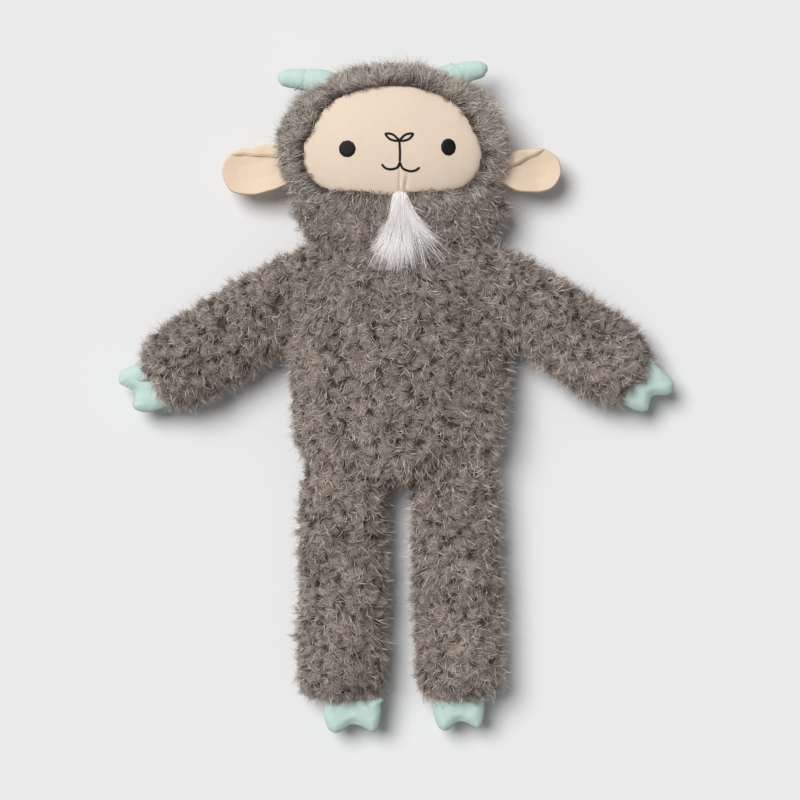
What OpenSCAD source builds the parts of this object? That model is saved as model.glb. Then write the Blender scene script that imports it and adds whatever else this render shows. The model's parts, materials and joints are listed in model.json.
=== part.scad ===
// Stuffed toy goat lying on its back, face up.
// +Z points out of the belly and +Y to the head. "left" and "right" are the goat's own: left is +X.
// The origin is under the middle of the toy, on the surface that it lies on.

/* [Head] */
// Width of the head across the cheeks
head_w = 184; // [178:1:188]
// Length of the head from the neck to the crown
head_l = 129; // [126:1:133]
// Thickness of the head from its back to the muzzle
head_t = 76; // [72:1:80]

/* [Face] */
// Radius of the two round lower corners of the face
cheek_r = 29; // [25:1:31]
// Length of an eye, across and along the face
eye_w = 12.6; // [8:0.2:16]
// Width of a line of stitching
stitch_w = 1.6; // [1:0.1:2.5]

/* [Body] */
// Width of the body across the hips
body_w = 167; // [160:1:170]
// Thickness of the body from its back to the belly
body_t = 68; // [64:1:72]
// Wall of the furry fabric with its pile pressed flat
fur_t = 5; // [3:0.5:6]

/* [Arms] */
// Width of an arm at the shoulder
arm_w = 64; // [58:1:64]
// Width of an arm at the cuff
cuff_w = 60; // [50:1:62]
// Thickness of an arm
arm_t = 48; // [42:1:50]
// Length of the right arm and of the left arm, from shoulder joint to cuff
arm_len = [128, 119]; // [110:1:132]
// Angle of each arm below the level of the shoulders
arm_angle = [33, 34.7]; // [25:0.1:40]

/* [Legs] */
// Width of a leg
leg_w = 68; // [62:1:68]
// Thickness of a leg
leg_t = 50; // [44:1:52]
// Length of a leg from hip joint to cuff
leg_len = 170; // [150:1:172]

/* [Hooves] */
// Thickness of a hoof
hoof_t = 20; // [16:1:22]
// Width of a hand's hoof where it leaves the cuff
hand_w = 34; // [30:1:40]
// Width of a foot's hoof where it leaves the cuff
foot_w = 40; // [36:1:44]
// Wall of the hoof, horn and ear fabric
twill_t = 1.2; // [0.8:0.1:1.5]

/* [Ears and horns] */
// Radius of the round end of an ear
ear_r = 19; // [16:1:20]
// Radius of a horn where it leaves the head
horn_r = 8.5; // [6:0.5:9]
// Radius of a horn's tip
horn_tip_r = 5; // [3:0.5:6]

/* [Hidden] */
right = 0;
left = 1;
side_of = [-1, 1];

fur = [0.46, 0.43, 0.40];
head_fur = [0.54, 0.50, 0.46];
linen = [0.90, 0.82, 0.74];
mint = [0.75, 0.84, 0.81];
wadding = [0.95, 0.95, 0.93];
black = [0.12, 0.10, 0.10];

// Facets of a stuffed lump and of a hoof's or horn's rounding
lump_fn = 22;
twill_fn = 14;
// Slack between a cover and its filling
slack = 0.3;
// Room between an arm or a leg and the body it turns against, and round a ball of wadding
arm_gap = 1;
leg_gap = 3;
ball_gap = 0.4;

// Joint centres
neck_at = [1, 128, 30];
shoulder_at = [[-80, 79, arm_t / 2], [92, 79, arm_t / 2]];
hip_at = [[-40, -72, leg_t / 2], [47.5, -72, leg_t / 2]];
neck_ball_r = 16;
shoulder_ball_r = 15;
hip_ball_r = 16;

// How far an arm swings below and above its place at rest
arm_down = 10;
arm_up = 60;

// Directions of the limbs, and of the hooves at their ends, as angles about Z from +X
arm_dir = [180 + arm_angle[right], -arm_angle[left]];
leg_dir = [-91, -88.5];
hand_dir = [198, -42];
foot_dir = [-91, -88.5];
// How far a hoof's joint lies beyond the end of the fur, and a foot's towards the other foot
hoof_out = 6;
foot_in = 4;

// Head, face and body centres
head_at = [-1, 195.5, head_t / 2 - 2];
face_x = -1.5;
seam_z = 33;
body_x = 2.5;

// A point at a distance from another, in a direction about Z
function along(from, dir, d) = from + d * [cos(dir), sin(dir), 0];
// Where a hoof's joint is
function wrist_at(s) = along(shoulder_at[s], arm_dir[s], arm_len[s] + hoof_out);
function ankle_at(s) = along(hip_at[s], leg_dir[s], leg_len + hoof_out) - [side_of[s] * foot_in, 0, 0];

// One shape stretched tightly over soft lumps: each is [centre, semi-axes, angle about Z]
module stuffed(lumps, inset = 0) {
    hull()
        for (l = lumps)
            translate(l[0]) rotate([0, 0, l[2]]) scale(l[1] - inset * [1, 1, 1])
                sphere(1, $fn = lump_fn);
}

// What lies above the surface that the toy rests on
module resting() {
    intersection() {
        children();
        translate([-400, -400, 0]) cube([800, 800, 200]);
    }
}

// A closed cover of the given wall over a stuffed shape
module cover(lumps, wall) {
    difference() {
        resting() stuffed(lumps);
        stuffed(lumps, wall);
    }
}

// The half of a shape above or below a height
module front_half(z) intersection() {
    children();
    translate([-400, -400, z]) cube([800, 800, 200]);
}
module back_half(z) intersection() {
    children();
    translate([-400, -400, z - 200]) cube([800, 800, 200]);
}

// ---- Body ----
body_lumps = [
    [[body_x - 1.5, 92, body_t / 2 - 3], [72, 34, body_t / 2 - 1], 0],
    [[body_x, 58, body_t / 2 - 2], [body_w / 2, 44, body_t / 2], 0],
    [[body_x, -38, body_t / 2 - 2], [body_w / 2, 36, body_t / 2], 0],
];

// The room that an arm sweeps as it swings, and that a leg sweeps as it turns
module arm_room(s) translate([shoulder_at[s][0], shoulder_at[s][1], -1]) {
    room_r = arm_w / 2 + arm_gap;
    cylinder(h = 100, r = room_r);
    for (swing = [-arm_down, arm_up])
        rotate([0, 0, arm_dir[s] + side_of[s] * swing])
            translate([0, -room_r, 0]) cube([100, 2 * room_r, 100]);
}
module leg_room(s) translate([hip_at[s][0], hip_at[s][1], -1])
    cylinder(h = 100, r = leg_w / 2 + leg_gap);

module limb_rooms() {
    for (s = [right, left]) {
        arm_room(s);
        leg_room(s);
    }
    translate(neck_at) sphere(neck_ball_r + ball_gap);
}

module torso_front_panel() color(fur) difference() {
    front_half(seam_z) cover(body_lumps, fur_t);
    limb_rooms();
}
module torso_back_panel() color(fur) difference() {
    back_half(seam_z) cover(body_lumps, fur_t);
    limb_rooms();
}
module torso_filling() color(wadding) difference() {
    stuffed(body_lumps, fur_t + slack);
    limb_rooms();
}
module neck_filling() color(wadding) translate(neck_at) sphere(neck_ball_r);

// ---- Head ----
// The head's surface, grown by t all round
module head_shape(t = 0) stuffed([[head_at, [head_w, head_l, head_t] / 2 - fur_t * [1, 1, 1], 0]], -t);

module face_outline(grow = 0) {
    translate([face_x, 0]) hull() {
        translate([-42, 187]) circle(cheek_r + grow, $fn = 48);
        translate([42, 187]) circle(cheek_r + grow, $fn = 48);
        translate([0, 208]) scale([61 + grow, 34 + grow]) circle(1, $fn = 48);
    }
}

// A slice of the face's front surface, from t above the stuffing to t + thick
module on_face(t, thick) intersection() {
    difference() {
        head_shape(t + thick);
        head_shape(t);
    }
    translate([0, 0, seam_z + 5]) linear_extrude(100) children();
}

// Where a horn sits in the head as it bends forward and back
module horn_room(s) hull() {
    translate(horn_at[s]) sphere(horn_r + 2 * ball_gap, $fn = twill_fn);
    for (bend = [-horn_bend, horn_bend])
        translate(horn_at[s]) rotate([0, bend, 0]) translate(horn_mid[s])
            sphere(horn_r + 2 * ball_gap, $fn = twill_fn);
}

module head_rooms() {
    translate(neck_at) sphere(neck_ball_r + ball_gap);
    for (s = [right, left])
        horn_room(s);
}

module hood() difference() {
    resting() head_shape(fur_t);
    head_shape();
    head_rooms();
}
module hood_front_panel() color(head_fur) difference() {
    front_half(seam_z) hood();
    translate([0, 0, seam_z + 5]) linear_extrude(100) face_outline();
}
module hood_back_panel() color(head_fur) back_half(seam_z) hood();
module head_filling() color(wadding) difference() {
    head_shape(-slack);
    head_rooms();
}
module face_panel() color(linen) on_face(0, twill_t) face_outline(-slack);

// Stitching on the face: a line through points, and the raised thread that it makes
module line(points) for (i = [1:len(points) - 1])
    hull() {
        translate(points[i - 1]) circle(stitch_w / 2, $fn = 16);
        translate(points[i]) circle(stitch_w / 2, $fn = 16);
    }
module raised() on_face(twill_t, 0.7) children();

nose_at = [4.5, 196.8];
lip_at = nose_at - [0, 17];
smile = 8;

module right_eye() color(black) raised() translate([-36.5, 191]) circle(d = eye_w + 0.4, $fn = 32);
module left_eye() color(black) raised() translate([42.5, 192.5]) scale([0.92, 1.05]) circle(d = eye_w, $fn = 32);
module nose_stitching() color(black) raised() {
    line([nose_at, lip_at + [0, stitch_w]]);
    for (k = [-1, 1])
        line([nose_at + k * [2.4, 0.8], nose_at + [k * 11, 5.2]]);
}
module mouth_stitching() color(black) raised()
    for (k = [-1, 1])
        line([for (a = [180:-30:30]) lip_at + [k * smile * (1 + cos(a)), -0.6 * smile * sin(a)]]);

beard_root = [4.5, 150, 69];
beard_end = [4.5, 108, 71];
module beard_tuft() color("white") stuffed([[beard_root, [5, 4, 2.5], 0], [beard_end, [13, 9, 3], 0]]);

// ---- Ears ----
ear_at = [[-117.5, 176.5], [113.5, 176.5]];
ear_root = [96, 97];
ear_z = 28;
ear_t = 1.8;

module ear_outline(s) hull() {
    translate(ear_at[s]) circle(ear_r, $fn = 48);
    for (y = [164, 189])
        translate([side_of[s] * (ear_root[s] + 3), y]) circle(3, $fn = 24);
}
module ear_front(s) color(linen) {
    translate([0, 0, ear_z + ear_t]) linear_extrude(ear_t) ear_outline(s);
    // The upper edge, turned down over the front
    translate([0, 0, ear_z + 2 * ear_t]) linear_extrude(ear_t) intersection() {
        ear_outline(s);
        translate([side_of[s] * 116, 200]) rotate([0, 0, side_of[s] * 5]) square([60, 26], center = true);
    }
}
module ear_back(s) color(linen) translate([0, 0, ear_z]) linear_extrude(ear_t) ear_outline(s);

// ---- Horns ----
horn_at = [[-53, 249, 36], [38, 252, 36]];
horn_mid = [[-18, -1, 0], [16, 2.5, 0]];
horn_end = [[-34, 1, 0], [31, 4, 0]];
horn_bend = 20;

module horn_shape(s, inset = 0) translate(horn_at[s]) {
    hull() {
        sphere(horn_r - inset, $fn = twill_fn);
        translate(horn_mid[s]) sphere(horn_r - 0.5 - inset, $fn = twill_fn);
    }
    hull() {
        translate(horn_mid[s]) sphere(horn_r - 0.5 - inset, $fn = twill_fn);
        translate(horn_end[s]) sphere(horn_tip_r - inset, $fn = twill_fn);
    }
}
module horn_cover(s) color(mint) difference() {
    horn_shape(s);
    horn_shape(s, twill_t);
}
module horn_filling(s) color(wadding) horn_shape(s, twill_t + slack);
module horn_stitch(s) color(mint) translate(horn_at[s] + horn_mid[s])
    rotate([0, 90, 0]) rotate_extrude() translate([horn_r - 0.4, 0]) circle(0.5);

// ---- Limbs ----
function limb_lumps(from, dir, length, w, end_w, t) = [
    [from, [w / 2, w / 2, t / 2 + 0.5], 0],
    [along(from, dir, length - 12), [12, end_w / 2, t / 2 + 0.3], dir],
];
function arm_lumps(s) = limb_lumps(shoulder_at[s], arm_dir[s], arm_len[s], arm_w, cuff_w, arm_t);
function leg_lumps(s) = limb_lumps(hip_at[s], leg_dir[s], leg_len, leg_w, leg_w + 2, leg_t);

// The ball of wadding in a joint, and the round groove that the hoof turns in
module limb_sockets(ball_at, ball_r, hoof_at, dir) {
    translate(ball_at) sphere(ball_r + ball_gap);
    translate(hoof_at) rotate([0, 0, dir]) rotate([90, 0, 0])
        cylinder(h = 100, r = hoof_t / 2 + 0.8, center = true);
}
module arm_sleeve(s) color(fur) difference() {
    cover(arm_lumps(s), fur_t);
    limb_sockets(shoulder_at[s], shoulder_ball_r, wrist_at(s), hand_dir[s]);
}
module arm_filling(s) color(wadding) difference() {
    stuffed(arm_lumps(s), fur_t + slack);
    limb_sockets(shoulder_at[s], shoulder_ball_r, wrist_at(s), hand_dir[s]);
}
module leg_sleeve(s) color(fur) difference() {
    cover(leg_lumps(s), fur_t);
    limb_sockets(hip_at[s], hip_ball_r, ankle_at(s), foot_dir[s]);
}
module leg_filling(s) color(wadding) difference() {
    stuffed(leg_lumps(s), fur_t + slack);
    limb_sockets(hip_at[s], hip_ball_r, ankle_at(s), foot_dir[s]);
}
module shoulder_filling(s) color(wadding) translate(shoulder_at[s]) sphere(shoulder_ball_r);
module hip_filling(s) color(wadding) translate(hip_at[s]) sphere(hip_ball_r);

// ---- Hooves ----
// Two toes that spread from a round root, which lies across the limb
module hoof_shape(w, toe_out, toe_r, inset = 0) {
    root_r = hoof_t / 2 - inset;
    for (k = [-1, 1])
        hull() {
            for (y = [-1, 1] * (w - hoof_t) / 2)
                translate([0, y, 0]) sphere(root_r, $fn = twill_fn);
            translate([toe_out, k * (w / 2 - toe_r + 3), 0]) sphere(toe_r - inset, $fn = twill_fn);
        }
}
module hoof_cover(w, toe_out, toe_r) difference() {
    hoof_shape(w, toe_out, toe_r);
    hoof_shape(w, toe_out, toe_r, twill_t);
}
hand_toe = [15, 8.5];
foot_toe = [9.5, 9.5];
module at_wrist(s) translate(wrist_at(s)) rotate([0, 0, hand_dir[s]]) children();
module at_ankle(s) translate(ankle_at(s)) rotate([0, 0, foot_dir[s]]) children();

module hand_hoof(s) color(mint) at_wrist(s) hoof_cover(hand_w, hand_toe[0], hand_toe[1]);
module hand_filling(s) color(wadding) at_wrist(s) hoof_shape(hand_w, hand_toe[0], hand_toe[1], twill_t + slack);
module foot_hoof(s) color(mint) at_ankle(s) hoof_cover(foot_w, foot_toe[0], foot_toe[1]);
module foot_filling(s) color(wadding) at_ankle(s) hoof_shape(foot_w, foot_toe[0], foot_toe[1], twill_t + slack);

// ---- Assembly ----
torso_front_panel();
torso_back_panel();
torso_filling();
neck_filling();
hood_front_panel();
hood_back_panel();
head_filling();
face_panel();
right_eye();
left_eye();
nose_stitching();
mouth_stitching();
beard_tuft();
for (s = [right, left]) {
    of = ["right", "left"][s];
    ear_front(s);
    ear_back(s);
    horn_cover(s);
    horn_filling(s);
    horn_stitch(s);
    shoulder_filling(s);
    arm_sleeve(s);
    arm_filling(s);
    hand_hoof(s);
    hand_filling(s);
    hip_filling(s);
    leg_sleeve(s);
    leg_filling(s);
    foot_hoof(s);
    foot_filling(s);
}
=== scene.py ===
"""How the stuffed goat looks: its pile, linen, twill and stitching, built round the CAD parts.

Lengths are in metres and places are in the row frame: +Z out of the belly, +Y to the head and
+X to the goat's left. Angles are in radians unless a name ends in _deg.
"""

import json
import math

import bmesh
import bpy
import numpy as np
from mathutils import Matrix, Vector, noise
from mathutils.bvhtree import BVHTree


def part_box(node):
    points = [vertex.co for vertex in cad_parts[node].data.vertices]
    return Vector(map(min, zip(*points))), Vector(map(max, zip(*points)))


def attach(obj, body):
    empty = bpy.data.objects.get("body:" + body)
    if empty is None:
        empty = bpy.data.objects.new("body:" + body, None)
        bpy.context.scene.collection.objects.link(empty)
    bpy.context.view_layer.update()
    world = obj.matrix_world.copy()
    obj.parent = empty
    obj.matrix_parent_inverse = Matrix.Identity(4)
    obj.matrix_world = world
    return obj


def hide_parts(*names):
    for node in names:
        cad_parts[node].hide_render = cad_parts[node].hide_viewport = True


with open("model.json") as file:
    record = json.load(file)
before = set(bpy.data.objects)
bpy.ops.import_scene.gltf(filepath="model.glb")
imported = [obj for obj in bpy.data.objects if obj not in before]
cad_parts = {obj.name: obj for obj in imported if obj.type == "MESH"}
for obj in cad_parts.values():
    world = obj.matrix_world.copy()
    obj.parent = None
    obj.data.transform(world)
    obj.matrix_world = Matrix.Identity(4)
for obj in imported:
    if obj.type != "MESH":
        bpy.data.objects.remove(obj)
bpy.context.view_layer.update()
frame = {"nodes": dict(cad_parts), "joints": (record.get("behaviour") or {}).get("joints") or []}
rng = np.random.default_rng(11)
noise.seed_set(11)

SIDES = ("right", "left")
SIGN = {"right": -1, "left": 1}

# Pile
PILE = 0.0125
CLUMP_GAP = 0.0047
STRANDS_PER_CLUMP = 28
STRAND_WIDTH = 0.00039
SKIN_DEPTH = 0.0030
FLOOR_GAP = 0.0003


# ---- Places worked out from the frame ----
def box_of(*nodes):
    """The lowest and highest corner of some CAD nodes together."""
    boxes = [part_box(n) for n in nodes]
    return np.array([b[0] for b in boxes]).min(0), np.array([b[1] for b in boxes]).max(0)


def middle(*nodes):
    low, high = box_of(*nodes)
    return (low + high) / 2


def joint_at(name):
    return np.array(next(j["pos_m"] for j in frame["joints"] if j["name"] == name), float)


def limb_way(side, limb):
    """The direction from a limb's root to its end."""
    root, tip = {"arm": ("shoulder_lift", "wrist_bend"), "leg": ("hip_bend", "ankle_bend")}[limb]
    way = joint_at(f"{side}_{tip}") - joint_at(f"{side}_{root}")
    return way / np.linalg.norm(way)


def node_points(*nodes):
    """The vertices of some CAD nodes, one to a row."""
    rows = []
    for n in nodes:
        mesh = frame["nodes"][n].data
        flat = np.empty(len(mesh.vertices) * 3)
        mesh.vertices.foreach_get("co", flat)
        rows.append(flat.reshape(-1, 3))
    return np.vstack(rows)


HEAD_LOW, HEAD_HIGH = box_of("hood_front_panel", "hood_back_panel")
FUR_WALL = 0.005
# How far the front of the head bulges above its widest line
HEAD_BULGE = 0.038
HEAD_MIDDLE = np.array([*((HEAD_LOW + HEAD_HIGH) / 2)[:2], HEAD_HIGH[2] - HEAD_BULGE])
HEAD_HALF = np.array([*((HEAD_HIGH - HEAD_LOW) / 2)[:2], HEAD_BULGE]) - FUR_WALL
FACE_POINTS = node_points("face_panel")
FACE_MIDDLE = middle("face_panel")[:2] - [0, 0.003]


def head_height(x, y):
    """The height of the front of the stuffed head over a point."""
    inside = 1 - ((x - HEAD_MIDDLE[0]) / HEAD_HALF[0]) ** 2 - ((y - HEAD_MIDDLE[1]) / HEAD_HALF[1]) ** 2
    return HEAD_MIDDLE[2] + HEAD_HALF[2] * np.sqrt(np.clip(inside, 0.01, 1))


# ---- Meshes ----
def add(name, points, faces):
    """An object from rows of points and faces, with smooth shading."""
    mesh = bpy.data.meshes.new(name)
    mesh.from_pydata(np.asarray(points, float).tolist(), [], [list(map(int, f)) for f in faces])
    mesh.shade_smooth()
    obj = bpy.data.objects.new(name, mesh)
    bpy.context.scene.collection.objects.link(obj)
    return obj


def apply_modifiers(obj):
    """Turns what an object's modifiers make into its own mesh."""
    bpy.context.view_layer.update()
    done = obj.evaluated_get(bpy.context.evaluated_depsgraph_get())
    mesh = bpy.data.meshes.new_from_object(done)
    obj.modifiers.clear()
    obj.data = mesh
    obj.data.shade_smooth()


def co_of(obj, of="co"):
    """The places or the normals of an object's vertices."""
    mesh = obj.data
    flat = np.empty(len(mesh.vertices) * 3)
    if of == "co":
        mesh.vertices.foreach_get("co", flat)
    else:
        mesh.vertex_normals.foreach_get("vector", flat)
    return flat.reshape(-1, 3)


def move(obj, points):
    obj.data.vertices.foreach_set("co", np.asarray(points, float).ravel())
    obj.data.update()


def curve_through(points, steps=12, closed=False):
    """A smooth line through some points: a Catmull-Rom spline."""
    p = np.asarray(points, float)
    count = len(p) if closed else len(p) - 1
    if closed:
        p = np.vstack([p[-1], p, p[0], p[1]])
    else:
        p = np.vstack([2 * p[0] - p[1], p, 2 * p[-1] - p[-2]])
    t = np.linspace(0, 1, steps, endpoint=False)[:, None]
    out = []
    for i in range(count):
        a, b, c, d = p[i : i + 4]
        square = 2 * a - 5 * b + 4 * c - d
        cube = 3 * b - a - 3 * c + d
        out.append(0.5 * (2 * b + (c - a) * t + square * t**2 + cube * t**3))
    if not closed:
        out.append(p[-2][None])
    return np.vstack(out)


def unit(v):
    """Rows scaled to length one."""
    return v / np.maximum(np.linalg.norm(v, axis=-1, keepdims=True), 1e-12)


def pillow(name, outline, heart, top, bottom, rings=24):
    """A closed mesh inside an outline round heart. top and bottom give the heights of its two sides:
    they take points of the plane and each point's distance from the outline."""
    outline = np.asarray(outline, float)
    around = len(outline)
    shares = np.sin(np.linspace(0, 1, rings + 1) * math.pi / 2)[1:]
    flat = np.vstack([[heart]] + [heart + s * (outline - heart) for s in shares])
    gap = np.linalg.norm(flat[:, None, :] - outline[None, ::2, :], axis=2).min(1)
    gap[-around:] = 0
    upper = np.column_stack([flat, top(flat, gap)])
    lower = np.column_stack([flat, bottom(flat, gap)])[:-around]
    faces = []
    for side, start in ((0, 0), (1, len(upper))):
        ring = [start + 1 + np.arange(around) + around * r for r in range(rings - side)]
        if side:
            ring.append(1 + np.arange(around) + around * (rings - 1))
        pairs = [(k, (k + 1) % around) for k in range(around)]
        loops = [(start, ring[0][a], ring[0][b]) for a, b in pairs]
        for inner, outer in zip(ring, ring[1:]):
            loops += [(inner[a], outer[a], outer[b], inner[b]) for a, b in pairs]
        faces += [f[::-1] for f in loops] if side else loops
    return add(name, np.vstack([upper, lower]), faces)


def tube(name, path, radii, sides=10, flat=1.0, up=(0, 0, 1)):
    """A closed tube along a path. flat squeezes it in the direction up."""
    path = np.asarray(path, float)
    radii = np.broadcast_to(np.asarray(radii, float), len(path))
    way = unit(np.gradient(path, axis=0))
    across = unit(np.cross(way, up))
    over = np.cross(across, way)
    turn = np.linspace(0, 2 * math.pi, sides, endpoint=False)
    rings = (
        path[:, None]
        + (radii[:, None] * np.cos(turn))[..., None] * across[:, None]
        + (radii[:, None] * np.sin(turn) * flat)[..., None] * over[:, None]
    )
    points = np.vstack([rings.reshape(-1, 3), path[:1], path[-1:]])
    faces = []
    for i in range(len(path) - 1):
        a, b = i * sides, (i + 1) * sides
        faces += [(a + k, a + (k + 1) % sides, b + (k + 1) % sides, b + k) for k in range(sides)]
    first, last = len(points) - 2, len(points) - 1
    end = (len(path) - 1) * sides
    faces += [(first, (k + 1) % sides, k) for k in range(sides)]
    faces += [(last, end + k, end + (k + 1) % sides) for k in range(sides)]
    return add(name, points, faces)


# ---- Materials ----
def new_material(name, roughness, sheen=0.0, specular=0.3):
    """A material with its links and its shader."""
    made = bpy.data.materials.new(name)
    made.use_nodes = True
    tree = made.node_tree
    shader = tree.nodes["Principled BSDF"]
    shader.inputs["Roughness"].default_value = roughness
    shader.inputs["Sheen Weight"].default_value = sheen
    shader.inputs["Sheen Roughness"].default_value = 0.5
    shader.inputs["Specular IOR Level"].default_value = specular
    return made, tree, shader


def node(tree, kind, inputs=None, **settings):
    """A node with its settings, and its inputs as values or as sockets to link."""
    made = tree.nodes.new(kind)
    for k, v in settings.items():
        setattr(made, k, v)
    for k, v in (inputs or {}).items():
        if isinstance(v, bpy.types.NodeSocket):
            tree.links.new(v, made.inputs[k])
        else:
            made.inputs[k].default_value = v
    return made


def math_node(tree, operation, a, b=0.0, clamp=False):
    """The outcome of one step of arithmetic."""
    made = node(tree, "ShaderNodeMath", {0: a, 1: b}, operation=operation)
    made.use_clamp = clamp
    return made.outputs[0]


def plus(tree, a, b):
    return math_node(tree, "ADD", a, b)


def minus(tree, a, b, clamp=False):
    return math_node(tree, "SUBTRACT", a, b, clamp)


def times(tree, a, b, clamp=False):
    return math_node(tree, "MULTIPLY", a, b, clamp)


def cloud(tree, where, scale, detail=2.0):
    """Noise from nought to one."""
    return node(tree, "ShaderNodeTexNoise", {"Vector": where, "Scale": scale, "Detail": detail}).outputs[0]


def bands(tree, where, scale, direction, distortion):
    """Regular waves, for threads side by side."""
    inputs = {"Vector": where, "Scale": scale, "Distortion": distortion}
    return node(tree, "ShaderNodeTexWave", inputs, bands_direction=direction).outputs["Fac"]


def raise_threads(tree, shader, height, strength, distance):
    """Relief from a height."""
    relief = node(tree, "ShaderNodeBump", {"Height": height, "Strength": strength, "Distance": distance})
    tree.links.new(relief.outputs[0], shader.inputs["Normal"])


def mixed(tree, share, a, b):
    """Two colours mixed by a share."""
    made = node(tree, "ShaderNodeMix", data_type="RGBA")
    for slot, value in ((0, share), (6, a), (7, b)):
        if isinstance(value, bpy.types.NodeSocket):
            tree.links.new(value, made.inputs[slot])
        else:
            made.inputs[slot].default_value = value
    return made.outputs[2]


def srgb(r, g, b):
    """A colour given as 0 to 255 screen values, in linear light."""
    shares = [c / 255 for c in (r, g, b)]
    return (*[((c + 0.055) / 1.055) ** 2.4 if c > 0.04 else c / 12.92 for c in shares], 1.0)


# A hair with a tone above this one is a stray hair, with a painted highlight along a part of it
STRAY_TONE = 0.8
HIGHLIGHT_AT = 0.62


def pile_material(name, root, tip, pale, roughness=0.42, sheen=0.1):
    """Hair: dark at the root and light at the tip, with a tone of its own for each strand. The dark roots
    are partly the fibre's own colour and partly painted shade deep in the pile, and stray hairs carry a
    painted highlight. The tone and how far along the hair a place lies come from the pile's UV layer."""
    made, tree, shader = new_material(name, roughness, sheen, 0.4)
    uv = node(tree, "ShaderNodeUVMap", uv_map="OFBake").outputs[0]
    split = node(tree, "ShaderNodeSeparateXYZ", {0: uv})
    tone, along = split.outputs[0], split.outputs[1]
    # Dark roots: partly the fibre's own colour, partly painted shade deep in the pile
    up = node(tree, "ShaderNodeValToRGB", {0: along})
    up.color_ramp.elements[0].color = root
    up.color_ramp.elements[1].position = 0.75
    up.color_ramp.elements[1].color = tip
    patch = cloud(tree, node(tree, "ShaderNodeTexCoord").outputs["Object"], 28.0)
    own = times(tree, math_node(tree, "MINIMUM", tone, STRAY_TONE), 0.62)
    value = plus(tree, plus(tree, own, times(tree, patch, 0.75)), 0.27)
    lit = node(tree, "ShaderNodeHueSaturation", {"Color": up.outputs[0], "Value": value})
    # Stray hairs take the pale colour only in a short band along their length: a painted highlight
    stray = times(tree, minus(tree, tone, STRAY_TONE, True), 1 / (1 - STRAY_TONE), True)
    off = math_node(tree, "ABSOLUTE", minus(tree, along, HIGHLIGHT_AT))
    painted_highlight = minus(tree, 1.15, times(tree, off, 3.4), True)
    colour = mixed(tree, times(tree, stray, painted_highlight), lit.outputs[0], pale)
    tree.links.new(colour, shader.inputs["Base Color"])
    return made


def woven_material(name, colour, dark, threads, twill=False, bump=0.3):
    """Woven cloth: threads both ways, or one slanting rib for twill, with slubs and faint patches, and
    painted shade in the hollows between the threads.
    """
    made, tree, shader = new_material(name, 0.85, 0.2, 0.2)
    where = node(tree, "ShaderNodeTexCoord").outputs["Object"]
    slubs = []
    for stretch in ((1.0, 0.09, 0.4), (0.09, 1.0, 0.4)):
        drawn = node(tree, "ShaderNodeVectorMath", {0: where, 1: stretch}, operation="MULTIPLY")
        slubs.append(cloud(tree, drawn.outputs[0], 1100.0))
    if twill:
        weave = bands(tree, where, threads, "DIAGONAL", 1.2)
    else:
        weave = times(tree, plus(tree, *[bands(tree, where, threads, d, 1.2) for d in ("X", "Y")]), 0.5)
    slub = times(tree, plus(tree, *slubs), 0.5)
    depth = plus(tree, times(tree, weave, 0.35), times(tree, slub, 1.1))
    # The colour follows the threads' relief: darker hollows are painted shade, while slubs and patches are
    # the yarn's own tone
    shade = plus(tree, times(tree, depth, 0.8), times(tree, cloud(tree, where, 45.0, 3.0), 0.3))
    tree.links.new(mixed(tree, minus(tree, shade, 0.2, True), dark, colour), shader.inputs["Base Color"])
    raise_threads(tree, shader, depth, bump, 0.0004)
    return made


def thread_material(name, colour, pale, pitch):
    """Satin stitch: smooth shiny threads side by side, each with a painted sheen in the paler colour along
    its crest.
    """
    made, tree, shader = new_material(name, 0.55, 0.0, 0.25)
    where = node(tree, "ShaderNodeTexCoord").outputs["Object"]
    wave = bands(tree, where, pitch, "DIAGONAL", 0.6)
    # The paler colour on each thread's crest is a painted sheen
    tree.links.new(mixed(tree, wave, colour, pale), shader.inputs["Base Color"])
    raise_threads(tree, shader, wave, 0.5, 0.0002)
    return made


# Each pile: root colour, partly painted shade, tip colour, and the pale colour of the painted highlight on
# stray hairs
BODY_PILE = pile_material("body_pile", srgb(74, 61, 54), srgb(195, 179, 167), srgb(255, 248, 240))
HEAD_PILE = pile_material("head_pile", srgb(104, 90, 80), srgb(204, 192, 180), srgb(232, 222, 210))
# The backing under the pile is dark: partly its own colour, partly painted shade where it shows in the gaps
# between the locks
SKIN = woven_material("pile_backing", srgb(88, 78, 71), srgb(60, 52, 47), 300.0, bump=0.6)
LINEN = woven_material("linen", srgb(237, 220, 201), srgb(219, 198, 177), 420.0)
EAR_LINEN = woven_material("ear_linen", srgb(237, 215, 190), srgb(222, 198, 171), 420.0)
TWILL = woven_material("mint_twill", srgb(201, 224, 217), srgb(180, 206, 198), 520.0, twill=True)
THREAD = thread_material("black_thread", srgb(5, 4, 5), srgb(18, 15, 16), 330.0)
MINT_THREAD = thread_material("mint_thread", srgb(170, 205, 194), srgb(196, 224, 214), 400.0)
# The beard's root, tip and painted highlight whites; the greyer root is partly painted shade between the
# locks
WHITES = srgb(232, 228, 226), srgb(244, 241, 240), srgb(250, 248, 247)
BEARD_HAIR = pile_material("beard_hair", *WHITES, 0.45, 0.2)


def finish_piece(obj, material, body, slot, replaces=()):
    """Gives a piece its material and its place in the frame."""
    obj.data.materials.clear()
    obj.data.materials.append(material)
    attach(obj, body)
    if replaces:
        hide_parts(*replaces)


# ---- The face's outline and surface ----
CHIN_DROP = 0.0042


def turns_left(a, b, c):
    return (b[0] - a[0]) * (c[1] - b[1]) > (b[1] - a[1]) * (c[0] - b[0])


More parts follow.
